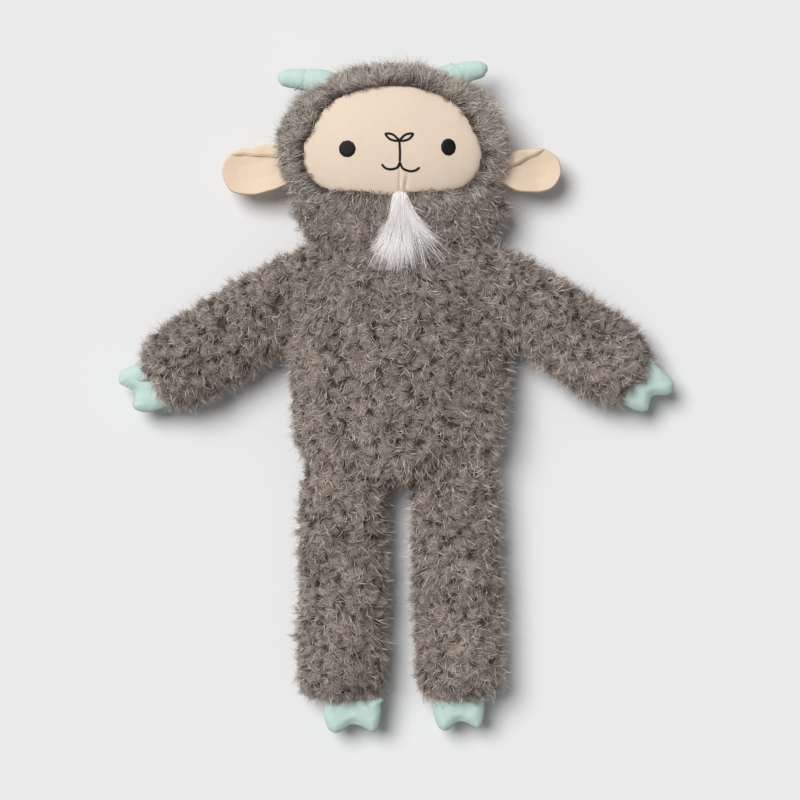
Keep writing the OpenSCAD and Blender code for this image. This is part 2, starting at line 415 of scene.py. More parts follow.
def outer_edges(points):
    """The outward directions of a flat outline's convex hull, and how far each side is from nought."""
    points = sorted(map(tuple, np.round(points, 6)))
    ring = []
    for row in (points, points[::-1]):
        chain = []
        for p in row:
            while len(chain) > 1 and not turns_left(chain[-2], chain[-1], p):
                chain.pop()
            chain.append(p)
        ring += chain[:-1]
    ring = np.array(ring)
    run = unit(np.roll(ring, -1, axis=0) - ring)
    out = np.stack([run[:, 1], -run[:, 0]], 1)
    return out, (out * ring).sum(1)


FACE_SIDES, FACE_OFFSETS = outer_edges(FACE_POINTS[:, :2] - FACE_MIDDLE)


def face_reach(turn):
    """How far the face reaches from its middle at an angle: the CAD panel's edge, with the chin a
    little lower, where the stuffing has pushed it down."""
    turn = np.asarray(turn, float)
    facing = np.stack([np.cos(turn), np.sin(turn)], -1) @ FACE_SIDES.T
    near = np.where(facing > 1e-3, FACE_OFFSETS / np.maximum(facing, 1e-3), 9.0).min(-1)
    chin = np.exp(-(((turn + math.pi / 2) / 0.45) ** 2))
    return near + CHIN_DROP * chin


FACE_RISE = 0.0026
FACE_FLATNESS = 0.2
FACE_TOP = HEAD_MIDDLE[2] + HEAD_HALF[2]
FACE_BACK = 0.0020
EDGE_SINK = 0.0022
# The higher this power, the sharper the face's edge rolls into its seam
EDGE_POWER = 34
DART_X = middle("mouth_stitching")[0]
LIP_Y = box_of("nose_stitching")[0][1]


def face_height(x, y):
    """The height of the face fabric: a dome that rolls into the seam, gathered by the chin dart."""
    x, y = np.asarray(x, float), np.asarray(y, float)
    off = np.stack([x - FACE_MIDDLE[0], y - FACE_MIDDLE[1]], -1)
    share = np.linalg.norm(off, axis=-1) / face_reach(np.arctan2(off[..., 1], off[..., 0]))
    rolled = np.sqrt(np.clip(1 - np.clip(share, 0, 1) ** EDGE_POWER, 0, 1))
    below = np.clip((LIP_Y - y) / 0.012, 0, 1)
    dart = -0.0013 * below * np.exp(-(((x - DART_X) / 0.0009) ** 2))
    low = np.clip((LIP_Y - y - 0.008) / 0.010, 0, 1)
    fold = -0.0012 * low * np.exp(-(((x - DART_X - 0.0085 + 0.22 * (LIP_Y - y)) / 0.0018) ** 2))
    ridge = 0.0007 * below * np.exp(-(((x - DART_X - 0.003) / 0.0015) ** 2))
    dome = head_height(x, y) + FACE_FLATNESS * (FACE_TOP - head_height(x, y))
    return dome + FACE_RISE - EDGE_SINK * (1 - rolled) + dart + fold + ridge


# ---- Stuffed parts under the pile ----
def stuffed(name, points, depth=SKIN_DEPTH):
    """A soft closed lump that lies a little inside the hull of some points."""
    shape = bmesh.new()
    for p in points:
        shape.verts.new(p)
    bmesh.ops.convex_hull(shape, input=shape.verts)
    bmesh.ops.delete(shape, geom=[v for v in shape.verts if not v.link_faces], context="VERTS")
    mesh = bpy.data.meshes.new(name)
    shape.to_mesh(mesh)
    shape.free()
    obj = bpy.data.objects.new(name, mesh)
    bpy.context.scene.collection.objects.link(obj)
    remesh = obj.modifiers.new("even", "REMESH")
    remesh.mode = "VOXEL"
    remesh.voxel_size = 0.003
    soften = obj.modifiers.new("soften", "SMOOTH")
    soften.factor = 0.6
    soften.iterations = 10
    apply_modifiers(obj)
    inset = co_of(obj) - depth * co_of(obj, "normal")
    inset[:, 2] = np.maximum(inset[:, 2], 0.0012)
    move(obj, inset)
    return obj


def ball_points(centre, half):
    """Points of an ellipsoid."""
    turn, rise = np.meshgrid(np.linspace(0, 2 * math.pi, 32), np.linspace(-1.5, 1.5, 17))
    sphere = np.stack([np.cos(turn) * np.cos(rise), np.sin(turn) * np.cos(rise), np.sin(rise)], -1)
    return centre + sphere.reshape(-1, 3) * half


def sink_under_face():
    """Presses the head's stuffing down where the face fabric lies over it."""
    skin = skins["head"]
    co = co_of(skin)
    off = co[:, :2] - FACE_MIDDLE
    share = np.linalg.norm(off, axis=1) / face_reach(np.arctan2(off[:, 1], off[:, 0]))
    under = (share < 1.0) & (co[:, 2] > HEAD_MIDDLE[2])
    low = face_height(co[:, 0], co[:, 1]) - FACE_BACK
    co[under, 2] = np.minimum(co[under, 2], low[under])
    move(skin, co)


# The neck's stuffing is a ball low down and a wider, flatter one under the cheeks
NECK_AT = joint_at("neck_nod") + np.array([0.003, 0, 0])
NECK_BALLS = [((0, -0.008, 0), (0.065, 0.040, 0.028)), ((0, 0.022, 0), (0.087, 0.022, 0.028))]
# The shoulders' stuffing, from the middle between the arms
SHOULDER_OUT = 0.071
SHOULDER_UP = 0.019
SHOULDER_HALF = np.array([0.020, 0.020, 0.022])
# Each arm is fuller near its open end, this far before the wrist
CUFF_BACK = 0.032
CUFF_HALF = np.array([0.035, 0.035, 0.023])
# The trunk grows narrower below this height, where the legs begin
HIP_TOP = -0.030
HIP_TAPER = 0.05
CROTCH_LIFT = 0.006


def trunk_points():
    """The trunk's hull: the CAD panels, narrower at the hips, and a ball at each shoulder."""
    trunk = node_points("torso_front_panel", "torso_back_panel")
    trunk[:, 0] *= 1 - HIP_TAPER * np.clip((HIP_TOP - trunk[:, 1]) / 0.03, 0, 1)
    trunk[:, 1] = np.maximum(trunk[:, 1], trunk[:, 1].min() + CROTCH_LIFT)
    centre = (joint_at("right_shoulder_lift") + joint_at("left_shoulder_lift")) / 2 + [0, SHOULDER_UP, 0]
    shoulders = [ball_points(centre + [s * SHOULDER_OUT, 0, 0], SHOULDER_HALF) for s in (-1, 1)]
    return np.vstack([trunk, *shoulders])


def neck_points():
    return np.vstack([ball_points(NECK_AT + off, np.array(half)) for off, half in NECK_BALLS])


def limb_points(side, limb):
    """A limb's hull: its sleeve, and for an arm a fuller end."""
    shape = node_points(f"{side}_{limb}_sleeve")
    if limb == "leg":
        return shape
    bulge = joint_at(f"{side}_wrist_bend") - CUFF_BACK * limb_way(side, "arm") + [0, 0.001, 0]
    return np.vstack([shape, ball_points(bulge, CUFF_HALF)])


skins = {
    "torso": stuffed("body_stuffing", trunk_points()),
    "neck": stuffed("neck_stuffing", neck_points(), depth=0.002),
    "head": stuffed("head_stuffing", node_points("hood_front_panel", "hood_back_panel")),
}
stands_for = {
    "torso": ["torso_front_panel", "torso_back_panel", "torso_filling"],
    "neck": ["neck_filling"],
    "head": ["hood_front_panel", "hood_back_panel", "head_filling"],
}
for side in SIDES:
    for limb, ball in (("arm", "shoulder"), ("leg", "hip")):
        body = f"{side}_{limb}"
        skins[body] = stuffed(f"{body}_stuffing", limb_points(side, limb))
        stands_for[body] = [f"{body}_sleeve", f"{body}_filling", f"{side}_{ball}_filling"]
for body, skin in skins.items():
    finish_piece(skin, SKIN, "torso" if body == "neck" else body, "grey_fur", stands_for[body])


# ---- Pile ----
def scatter(obj, gap):
    """Points about gap apart all over an object, with the surface's normals there."""
    mesh = obj.data
    mesh.calc_loop_triangles()
    corners = np.empty(len(mesh.loop_triangles) * 3, int)
    mesh.loop_triangles.foreach_get("vertices", corners)
    corners = corners.reshape(-1, 3)
    co, normal = co_of(obj), co_of(obj, "normal")
    a, b, c = (co[corners[:, k]] for k in range(3))
    area = np.linalg.norm(np.cross(b - a, c - a), axis=1) / 2
    count = int(area.sum() / gap**2 * 7)
    pick = rng.choice(len(area), count, p=area / area.sum())
    u, v = rng.random(count), rng.random(count)
    u, v = np.where(u + v > 1, 1 - u, u), np.where(u + v > 1, 1 - v, v)
    weights = np.stack([1 - u - v, u, v], 1)[..., None]
    points = (co[corners[pick]] * weights).sum(1)
    normals = unit((normal[corners[pick]] * weights).sum(1))
    cell = np.floor(points / gap).astype(int)
    _, keep = np.unique(cell, axis=0, return_index=True)
    return points[keep], normals[keep]


def depth_in(points, obj):
    """How deep each point lies inside a closed object, or below nought outside it."""
    tree = BVHTree.FromObject(obj, bpy.context.evaluated_depsgraph_get())
    depth = np.empty(len(points))
    for i, p in enumerate(points):
        at, normal, _, gap = tree.find_nearest(Vector(p))
        depth[i] = gap if (Vector(p) - at).dot(normal) < 0 else -gap
    return depth


def on_surface(ways, normals):
    """Directions laid flat on the surface."""
    return unit(ways - (ways * normals).sum(1, keepdims=True) * normals)


def swirl(points, scale):
    """A direction that wanders slowly from place to place."""
    return np.array([noise.noise_vector(Vector(p) * scale) for p in points])


def strands(root, normal, way, length, rise, curl, dip, width, tone, rows=6, gather=None):
    """Ribbons of hair, one for each row of the arrays: they start at root, set off at the angle rise
    above the surface along way, turn sideways by curl and dip by dip before their tips.
    Returns the points and the (tone, along) pairs, strand by strand."""
    across = np.cross(normal, way)
    steps = (np.arange(rows - 1) + 0.5) / (rows - 1)
    at = [root]
    for s in steps:
        turn = curl * s
        lift = rise - dip * s
        flat = way * np.cos(turn)[:, None] + across * np.sin(turn)[:, None]
        step = flat * np.cos(lift)[:, None] + normal * np.sin(lift)[:, None]
        at.append(at[-1] + step * (length / (rows - 1))[:, None])
    at = np.stack(at, 1)
    share = np.linspace(0, 1, rows)
    if gather is not None:
        at += gather[:, None, :] * (share**0.8)[None, :, None]
    at[..., 2] = np.maximum(at[..., 2], FLOOR_GAP + 0.0012 * rng.random((len(root), 1)))
    along = unit(np.gradient(at, axis=1))
    facing = unit(normal + rng.normal(0, 0.45, normal.shape))
    side = unit(np.cross(along, facing[:, None, :]))
    half = (width[:, None] * (1 - 0.7 * share)[None, :] / 2)[..., None]
    left, right = at - side * half, at + side * half
    pairs = np.stack([left[:, :-1], right[:, :-1]], 2).reshape(len(root), -1, 3)
    points = np.concatenate([pairs, at[:, -1:]], 1)
    v = np.append(np.repeat(share[:-1], 2), 1.0)
    uv = np.stack(np.broadcast_arrays(tone[:, None], v[None, :]), -1)
    return points, uv


def ribbons(name, points, uv):
    """One mesh from strands: each is a row of quads that ends in a triangle."""
    count, per = points.shape[:2]
    quads = (per - 1) // 2 - 1
    one = [(2 * q, 2 * q + 1, 2 * q + 3, 2 * q + 2) for q in range(quads)]
    corners = np.array([c for f in one for c in f] + [per - 3, per - 2, per - 1])
    sizes = np.array([4] * quads + [3])
    mesh = bpy.data.meshes.new(name)
    mesh.vertices.add(count * per)
    mesh.vertices.foreach_set("co", points.reshape(-1).astype(np.float32))
    all_corners = (corners[None] + per * np.arange(count)[:, None]).ravel()
    all_sizes = np.tile(sizes, count)
    mesh.loops.add(len(all_corners))
    mesh.loops.foreach_set("vertex_index", all_corners.astype(np.int32))
    mesh.polygons.add(len(all_sizes))
    mesh.polygons.foreach_set("loop_start", (np.cumsum(all_sizes) - all_sizes).astype(np.int32))
    layer = mesh.uv_layers.new(name="OFBake")
    layer.data.foreach_set("uv", uv.reshape(-1, 2)[all_corners].astype(np.float32).ravel())
    mesh.update(calc_edges=True)
    mesh.shade_smooth()
    obj = bpy.data.objects.new(name, mesh)
    bpy.context.scene.collection.objects.link(obj)
    return obj


def combed(body, points, normals):
    """Which way the pile leans at each point."""
    if body == "head":
        out = points - np.array([*FACE_MIDDLE, 0])
        out[:, 2] = 0
        return unit(out) + 0.35 * swirl(points, 60)
    if "arm" in body:
        way = 0.7 * limb_way(body.split("_")[0], "arm") + np.array([0, -0.6, 0])
    else:
        way = np.array([0, -1.0, 0])
    outward = normals * [1, 1, 0]
    return way * (1 + cuff(body, points))[:, None] + 0.5 * outward + 1.1 * swirl(points, 85)


def bald(body, points):
    """Where no pile grows: under the face, the horns and the hooves."""
    if body == "head":
        off = points[:, :2] - FACE_MIDDLE
        under = np.linalg.norm(off, axis=1) < face_reach(np.arctan2(off[:, 1], off[:, 0])) - 0.0005
        out = under & (points[:, 2] > HEAD_MIDDLE[2])
        for side in SIDES:
            out |= np.linalg.norm(points - joint_at(f"{side}_horn_bend"), axis=1) < 0.010
        return out
    if "arm" in body or "leg" in body:
        side, limb = body.split("_")
        end = joint_at(f"{side}_{'wrist' if limb == 'arm' else 'ankle'}_bend")
        off = points - end
        return (np.linalg.norm(off * [1, 1, 1.3], axis=1) < 0.0150) & (np.abs(off[:, 2]) < 0.011)
    return np.zeros(len(points), bool)


CHUNK = 20000
# How strongly the hair of each part gathers into locks, its tone, and painted light: how much paler it is
# painted at the sides, where light shines through the tips, and for each metre towards the goat's left
TUFT = {"head": 0.1, "neck": 0.3}
TONE = {"neck": 0.10, "head": 0.38, "torso": 0.26}
PAINTED_RIM_LIGHT = {"head": 0.08, "torso": 0.85}
PAINTED_LEFT_LIGHT = {"head": 1.8, "torso": 0.9}
# The short pile at the joints is paler, because its dark roots show more
SHORT_TONE = 0.35


def cuff(body, points):
    """How near each point is to the open end of a limb's sleeve, from nought to one."""
    if body in ("torso", "neck", "head"):
        return np.zeros(len(points))
    side, limb = body.split("_")
    end = joint_at(f"{side}_{'wrist' if limb == 'arm' else 'ankle'}_bend")
    past = np.minimum((points - end) @ limb_way(side, limb), 0)
    return np.exp(-((past / 0.016) ** 2))


def grow(body, points, normals, amount, length=PILE):
    """The pile of one part: locks of hair that curl together, and stray hairs over them."""
    n = len(points)
    fine = body == "head"
    tuft = TUFT.get(body, 0.6)
    open_end = cuff(body, points)
    sideways = np.clip(1 - normals[:, 2], 0, 1)
    wander = rng.normal(0, 0.25 if fine else 0.45, points.shape)
    lean = on_surface(combed(body, points, normals) + wander, normals)
    per = rng.poisson(amount)
    lock = np.repeat(np.arange(n), per)
    m = len(lock)
    lock_length = length * rng.uniform(0.75, 1.2, n) * (1 + 0.3 * open_end)
    lock_rise = rng.normal(0.95, 0.2, n)
    lock_curl = rng.choice([-1, 1], n) * rng.uniform(0.8, 3.4, n) * (0.4 if fine else 1.0)
    lock_dip = rng.normal(1.5, 0.45, n) * (1 - 0.4 * open_end)
    lock_tone = rng.normal(TONE.get(body, 0.28), 0.05 if fine else 0.15, n)
    # Painted light: paler at the sides and towards the goat's left
    lock_tone += PAINTED_RIM_LIGHT.get(body, 0.25) * sideways + PAINTED_LEFT_LIGHT.get(body, 0.0) * points[:, 0]
    lock_tone += SHORT_TONE * (length < PILE)
    nrm = normals[lock]
    side = np.cross(nrm, lean[lock])
    spread = (0.85 if fine else 0.6) * CLUMP_GAP * np.sqrt(rng.random(m))
    angle = rng.random(m) * 2 * math.pi
    offset = (spread * np.cos(angle))[:, None] * lean[lock] + (spread * np.sin(angle))[:, None] * side
    way = on_surface(lean[lock] + rng.normal(0, 0.16, (m, 3)), nrm)
    made, uv = strands(
        points[lock] + offset - 0.0006 * nrm,
        nrm,
        way,
        lock_length[lock] * rng.uniform(0.75, 1.15, m),
        lock_rise[lock] + rng.normal(0, 0.14, m),
        lock_curl[lock] + rng.normal(0, 0.35, m),
        lock_dip[lock] + rng.normal(0, 0.25, m),
        STRAND_WIDTH * rng.uniform(0.7, 1.15, m),
        np.clip(lock_tone[lock] + rng.normal(0, 0.24, m), 0.02, STRAY_TONE - 0.01),
        gather=-tuft * offset,
    )
    strays = rng.choice(n, int(n * 1.8), p=per / per.sum())
    k = len(strays)
    fringe = sideways[strays]
    loose, loose_uv = strands(
        points[strays] + rng.normal(0, 0.0015, (k, 3)) - 0.0006 * normals[strays],
        normals[strays],
        on_surface(lean[strays] + rng.normal(0, 0.5, (k, 3)), normals[strays]),
        length * rng.uniform(0.75, 1.2, k),
        rng.normal(0.95, 0.25, k) + 0.3 * fringe,
        rng.normal(0, 1.2, k),
        rng.normal(1.0, 0.45, k) - 0.6 * fringe,
        STRAND_WIDTH * rng.uniform(0.7, 1.4, k),
        rng.uniform(STRAY_TONE, 1.0, k),
        gather=rng.normal(0, 0.0006, (k, 3)),
    )
    return np.vstack([made, loose]), np.vstack([uv, loose_uv])


def root_surface():
    """One smooth surface over all the stuffed parts, for the hair to start from: it runs across the
    creases at the neck, the armpits and the hips, as the fur fabric does."""
    copies = []
    for skin in skins.values():
        copy = skin.copy()
        copy.data = skin.data.copy()
        copy.parent = None
        bpy.context.scene.collection.objects.link(copy)
        copies.append(copy)
    with bpy.context.temp_override(active_object=copies[0], selected_editable_objects=copies):
        bpy.ops.object.join()
    whole = copies[0]
    remesh = whole.modifiers.new("one", "REMESH")
    remesh.mode = "VOXEL"
    remesh.voxel_size = 0.0032
    soften = whole.modifiers.new("soften", "SMOOTH")
    soften.factor = 0.6
    soften.iterations = 22
    apply_modifiers(whole)
    move(whole, co_of(whole) + 0.0008 * co_of(whole, "normal"))
    return whole


def nearest_part(points):
    """The number of the stuffed part that each point belongs to."""
    inside = np.stack([depth_in(points, skin) for skin in skins.values()], 1)
    return inside.argmax(1)


def pile_pieces(name, body, rider, points, normals, amount, length=PILE):
    """Pile on some points of a body, in pieces of a size that can be handed on."""
    if not len(points):
        return
    made, uv = grow(body, points, normals, amount, length)
    for i in range(0, len(made), CHUNK):
        piece = ribbons(f"{name}_{i // CHUNK + 1}", made[i : i + CHUNK], uv[i : i + CHUNK])
        material, slot = (HEAD_PILE, "pale_grey_fur") if body == "head" else (BODY_PILE, "grey_fur")
        finish_piece(piece, material, rider, slot)


def cover_in_pile():
    """Pile all over, in pieces that each ride one body."""
    whole = root_surface()
    points, normals = scatter(whole, CLUMP_GAP)
    bpy.data.objects.remove(whole)
    owner = nearest_part(points)
    amount = np.full(len(points), float(STRANDS_PER_CLUMP))
    amount[normals[:, 2] < -0.3] *= 0.4
    for k, body in enumerate(skins):
        mine = (owner == k) & ~bald(body, points)
        rides = [(body, f"{body}_pile", mine)]
        if body == "neck":
            above = points[:, 1] > NECK_AT[1]
            rides = [("torso", "torso_neck_pile", mine & ~above), ("head", "head_neck_pile", mine & above)]
        for rider, name, here in rides:
            pile_pieces(name, body, rider, points[here], normals[here], amount[here])


HIDDEN_GAP = 0.0050
HIDDEN_PILE = 0.0085


def cover_joints():
    """Shorter pile where one stuffed part lies inside another, which shows when a joint moves."""
    for body, skin in skins.items():
        points, normals = scatter(skin, HIDDEN_GAP)
        others = [depth_in(points, s) for name, s in skins.items() if name != body]
        hidden = np.max(others, axis=0) > 0.001
        if body == "neck":
            hidden |= points[:, 1] > NECK_AT[1]
        hidden &= ~bald(body, points)
        amount = np.full(hidden.sum(), float(STRANDS_PER_CLUMP))
        rider = "torso" if body == "neck" else body
        pile_pieces(f"{body}_joint_pile", body, rider, points[hidden], normals[hidden], amount, HIDDEN_PILE)


cover_in_pile()
cover_joints()
sink_under_face()


# ---- Face ----
def face_outline():
    turn = np.linspace(-math.pi, math.pi, 360, endpoint=False)
    return FACE_MIDDLE + face_reach(turn)[:, None] * np.stack([np.cos(turn), np.sin(turn)], 1)


face = pillow(
    "face_panel_linen",
    face_outline(),
    FACE_MIDDLE,
    lambda p, gap: face_height(p[:, 0], p[:, 1]),
    lambda p, gap: face_height(p[:, 0], p[:, 1]) - np.minimum(gap, 0.0012),
    rings=70,
)
finish_piece(face, LINEN, "head", "linen", ["face_panel"])


def eye(side):
    """An eye: a low dome of satin stitch."""
    low, high = box_of(f"{side}_eye")
    half, centre = (high - low)[:2] / 2, ((low + high) / 2)[:2]
    turn = np.linspace(0, 2 * math.pi, 64, endpoint=False)
    rough = 1 + 0.018 * np.sin(turn * 23) + 0.012 * np.sin(turn * 9 + 1)
    outline = centre + half * rough[:, None] * np.stack([np.cos(turn), np.sin(turn)], 1)
    obj = pillow(
        f"{side}_eye_satin",
        outline,
        centre,
        lambda p, gap: face_height(p[:, 0], p[:, 1]) + 0.0002 + 0.0008 * np.sqrt(np.clip(gap / 0.002, 0, 1)),
        lambda p, gap: face_height(p[:, 0], p[:, 1]) - 0.0002,
        rings=14,
    )
    finish_piece(obj, THREAD, "head", "black_thread", [f"{side}_eye"])


for side in SIDES:
    eye(side)

STITCH = 0.0009


def stitched(name, lines, node_name):
    """Lines of stitching on the face, joined as one piece."""
    tubes = []
    for i, line in enumerate(lines):
        fine = curve_through(line, 14)
        run = np.concatenate([[0], np.cumsum(np.linalg.norm(np.diff(fine, axis=0), axis=1))])
        even = np.linspace(0, run[-1], int(run[-1] / 0.0003) + 2)
        x, y = np.interp(even, run, fine[:, 0]), np.interp(even, run, fine[:, 1])
        path = np.stack([x, y, face_height(x, y) + 0.0003], 1)
        twist = 1 + 0.16 * np.abs(np.sin(even / 0.0011 * math.pi))
        ends = np.sqrt(np.clip(np.minimum(even, run[-1] - even) / STITCH, 0.05, 1))
        tubes.append(tube(f"{name}_{i}", path, STITCH * 0.92 * twist * ends, 8, 0.6))
    first = tubes[0]
    with bpy.context.temp_override(active_object=first, selected_editable_objects=tubes):
        bpy.ops.object.join()
    first.name = name
    finish_piece(first, THREAD, "head", "black_thread", [node_name])


nose_low, nose_high = box_of("nose_stitching")
NOSE = np.array([DART_X - 0.0004, nose_high[1] - 0.0055])
LIP = np.array([DART_X, LIP_Y])


def leaf(s):
    """One slim loop of the nose, to the side s."""
    tip = NOSE + [s * 0.0106, 0.0052]
    upper = NOSE + [s * 0.0050, 0.0046]
    lower = [NOSE + [s * 0.0078, 0.0014], NOSE + [s * 0.0034, -0.0002]]
    return [NOSE, upper, tip, *lower, NOSE]


stitched("nose_threads", [leaf(-1), leaf(1), [NOSE, (NOSE + LIP) / 2 + [0.0003, 0], LIP]], "nose_stitching")
# The two curves of the mouth, as offsets from the lip
SMILE = [
    [(0, 0), (-0.0020, -0.0042), (-0.0069, -0.0056), (-0.0112, -0.0047), (-0.0142, -0.0016)],
    [(0, 0), (0.0024, -0.0050), (0.0078, -0.0070), (0.0122, -0.0064), (0.0157, -0.0040)],
]
stitched("mouth_threads", [LIP + np.array(curve) for curve in SMILE], "mouth_stitching")


# ---- Ears ----
EAR_THICK = 0.0034
EAR_LIFT = 0.0012
FLAP_THICK = 0.0026
# The ear hangs a little: it sinks by EAR_SAG in its first EAR_SAG_OVER, and slopes by EAR_DROOP
EAR_SAG = 0.003
EAR_SAG_OVER = 0.022
EAR_DROOP = 0.06
# Points of each outline, as shares of the ear's length from the head and of half its width
EAR_SHAPE = {
    "right": [
        *[(-0.40, -0.30), (-0.14, -0.72), (0.10, -0.88), (0.36, -1.0), (0.68, -0.95)],
        *[(0.87, -0.74), (1.0, -0.12), (0.95, 0.42), (0.79, 0.76), (0.62, 0.90)],
        *[(0.40, 0.93), (0.12, 1.06), (-0.15, 0.95), (-0.40, 0.40)],
    ],
    "left": [
        *[(-0.40, -0.30), (-0.12, -0.66), (0.08, -0.85), (0.36, -0.90), (0.62, -0.87)],
        *[(0.85, -0.66), (1.0, -0.14), (0.96, 0.46), (0.80, 0.77), (0.60, 0.92)],
        *[(0.25, 0.85), (-0.08, 0.70), (-0.40, 0.30)],
    ],
}
FLAP_SHAPE = {
    "right": [
        *[(-0.30, 0.55), (-0.06, 0.57), (0.15, 0.58), (0.55, 0.64), (0.80, 0.65)],
        *[(0.83, 0.72), (0.62, 0.91), (0.40, 0.95), (0.12, 1.08), (-0.15, 0.97), (-0.30, 0.70)],
    ],
    "left": [
        *[(-0.30, 0.00), (-0.10, 0.10), (0.08, 0.25), (0.34, 0.52), (0.60, 0.79)],
        *[(0.62, 0.94), (0.25, 0.88), (-0.08, 0.73), (-0.30, 0.40)],
    ],
}


def ear(side):
    """An ear of two layers of linen, with its upper edge turned down over the front."""
    s = SIGN[side]
    low, high = box_of(f"{side}_ear_front", f"{side}_ear_back")
    tip_x, root_x = (low[0], high[0]) if s < 0 else (high[0], low[0])
    middle_y, half, floor_z = (low[1] + high[1]) / 2, (high[1] - low[1]) / 2, low[2]

    def hang(p):
        """How far the soft ear sinks toward the floor at a point."""
        out = np.clip((p[:, 0] - root_x) * s, 0, None)
        share = np.clip(out / EAR_SAG_OVER, 0, 1)
        return EAR_SAG * share**2 * (3 - 2 * share) + EAR_DROOP * out

    def placed(shape):
        """An outline of shares in its place, always the same way round."""
        shares = np.array(shape)
        at = np.stack([root_x + shares[:, 0] * (tip_x - root_x), middle_y + shares[:, 1] * half], 1)
        line = curve_through(at, 12, closed=True)
        return line if s > 0 else line[::-1]

    def top(p, gap):
        cup = 0.0020 * np.clip(gap / 0.012, 0, 1)
        return floor_z + EAR_LIFT + EAR_THICK * np.clip(gap / 0.0011, 0, 1) ** 0.5 - cup - hang(p)

    def bottom(p, gap):
        return floor_z + EAR_LIFT - 0.0010 * np.clip(gap / 0.004, 0, 1) ** 0.5 - hang(p)

    def flap_top(p, gap):
        wave = 0.0005 * np.sin((p[:, 0] - root_x) * 380)
        return floor_z + EAR_THICK + FLAP_THICK * np.clip(gap / 0.0022, 0, 1) ** 0.5 + wave - hang(p)

    def flap_bottom(p, gap):
        return floor_z + 0.5 * EAR_THICK - hang(p)

    outline = placed(EAR_SHAPE[side])
    heart = np.array([(root_x + tip_x) / 2, middle_y])
    obj = pillow(f"{side}_ear_linen", outline, heart, top, bottom, rings=30)
    finish_piece(obj, EAR_LINEN, f"{side}_ear", "linen", [f"{side}_ear_back"])
    edge = placed(FLAP_SHAPE[side])
    flap = pillow(f"{side}_ear_flap", edge, edge.mean(0), flap_top, flap_bottom, rings=12)
    finish_piece(flap, EAR_LINEN, f"{side}_ear", "linen", [f"{side}_ear_front"])


for side in SIDES:
    ear(side)


# ---- Horns ----
# How far each horn's tip stands above its root, and how far its middle bows up
HORN_RISE = {"right": 0.0046, "left": 0.0085}
HORN_BOW = {"right": 0.0012, "left": 0.0018}
# The horn's radii at some shares of its length
HORN_STAGES = [0, 0.35, 0.55, 0.72, 0.88, 1]
HORN_RADII = [0.0080, 0.0105, 0.0102, 0.0086, 0.0072, 0.0056]
HORN_FLATNESS = 0.9
HORN_SEAM = 0.70


def horn_path(side):
    """The horn's middle line, from deep in the head to its tip, and the distance along it."""
    s = SIGN[side]
    low, high = box_of(f"{side}_horn_cover")
    root = joint_at(f"{side}_horn_bend") - [0, 0.0045, 0]
    tip = np.array([low[0] if s < 0 else high[0], root[1] + HORN_RISE[side], root[2]])
    bow = np.array([0, HORN_BOW[side], 0])
    deep = [root - [s * 0.020, 0.022, 0.012], root - [s * 0.011, 0.007, 0.003]]
    line = curve_through([*deep, root, (root + tip) / 2 + bow, tip - [s * 0.004, 0, 0], tip], 16)
    run = np.concatenate([[0], np.cumsum(np.linalg.norm(np.diff(line, axis=0), axis=1))])
    even = run[-1] * np.sin(np.linspace(0, 1, 90) * math.pi / 2)
    return np.stack([np.interp(even, run, line[:, k]) for k in range(3)], 1), even


def horn(side):
    """A stuffed horn of twill with a stitched line round it, and wrinkles beside the line."""
    s = SIGN[side]
    path, even = horn_path(side)
    long = even[-1]
    left = long - even
    radii = np.interp(even / long, HORN_STAGES, HORN_RADII)
    radii = radii * np.sqrt(np.clip(1 - (1 - np.clip(left / 0.006, 0, 1)) ** 2, 0.0004, 1))
    seam = HORN_SEAM * long
    radii = radii * (1 - 0.07 * np.exp(-(((even - seam) / 0.0009) ** 2)))
    obj = tube(f"{side}_horn_twill", path, radii, 40, HORN_FLATNESS)
    co, normal = co_of(obj), co_of(obj, "normal")
    wrinkle = np.array([noise.noise(Vector((p[0] * 300, p[1] * 130, p[2] * 130))) for p in co])
    near = np.exp(-(((co[:, 0] - np.interp(seam, even, path[:, 0])) / 0.010) ** 2))
    move(obj, co + normal * (0.00045 * wrinkle * (0.25 + near))[:, None])
    covers = [f"{side}_horn_cover", f"{side}_horn_filling"]
    finish_piece(obj, TWILL, f"{side}_horn", "mint_twill", covers)
    at = np.array([np.interp(seam, even, path[:, k]) for k in range(3)])
    turn = np.linspace(0, 2 * math.pi, 80)
    r = np.interp(seam, even, radii) + 0.0001
    ring = at + r * np.stack([-s * np.cos(turn), np.cos(turn), HORN_FLATNESS * np.sin(turn)], 1)
    thread = tube(f"{side}_horn_thread", ring, 0.00032 * (1 + 0.25 * np.sin(turn * 26)), 6, up=(s, 0, 0.01))
    finish_piece(thread, MINT_THREAD, f"{side}_horn", "mint_twill", [f"{side}_horn_stitch"])


for side in SIDES:
    horn(side)


# ---- Hooves ----
HOOF_PLUMP = 0.85
HOOF_DROOP = 0.10
# Each outline round its two toes, as shares of the length and of half the width
HOOF_SHAPE = {
    "hand": [
        *[(-0.45, -0.90), (0.05, -1.0), (0.42, -1.0), (0.82, -0.95), (0.97, -0.74)],
        *[(1.0, -0.47), (0.63, -0.02), (0.70, 0.27), (0.82, 0.56), (0.66, 0.81)],
        *[(0.30, 0.98), (-0.22, 1.0), (-0.45, 0.90)],
    ],
    "foot": [
        *[(-0.50, -0.92), (-0.10, -1.0), (0.40, -0.97), (0.84, -0.84), (0.99, -0.68)],
        *[(1.03, -0.56), (0.95, -0.40), (0.66, -0.03), (0.72, 0.28), (0.88, 0.56)],
        *[(0.95, 0.72), (0.84, 0.88), (0.37, 0.99), (-0.15, 1.0), (-0.50, 0.92)],
    ],
}
# How far each foot sits along the leg and across it from the ankle, and its share of the CAD width
FOOT_SHIFT = {"right": (0.0022, 0.0061), "left": (0.0, 0.0032)}
FOOT_WIDTH = {"right": 1.0, "left": 0.88}


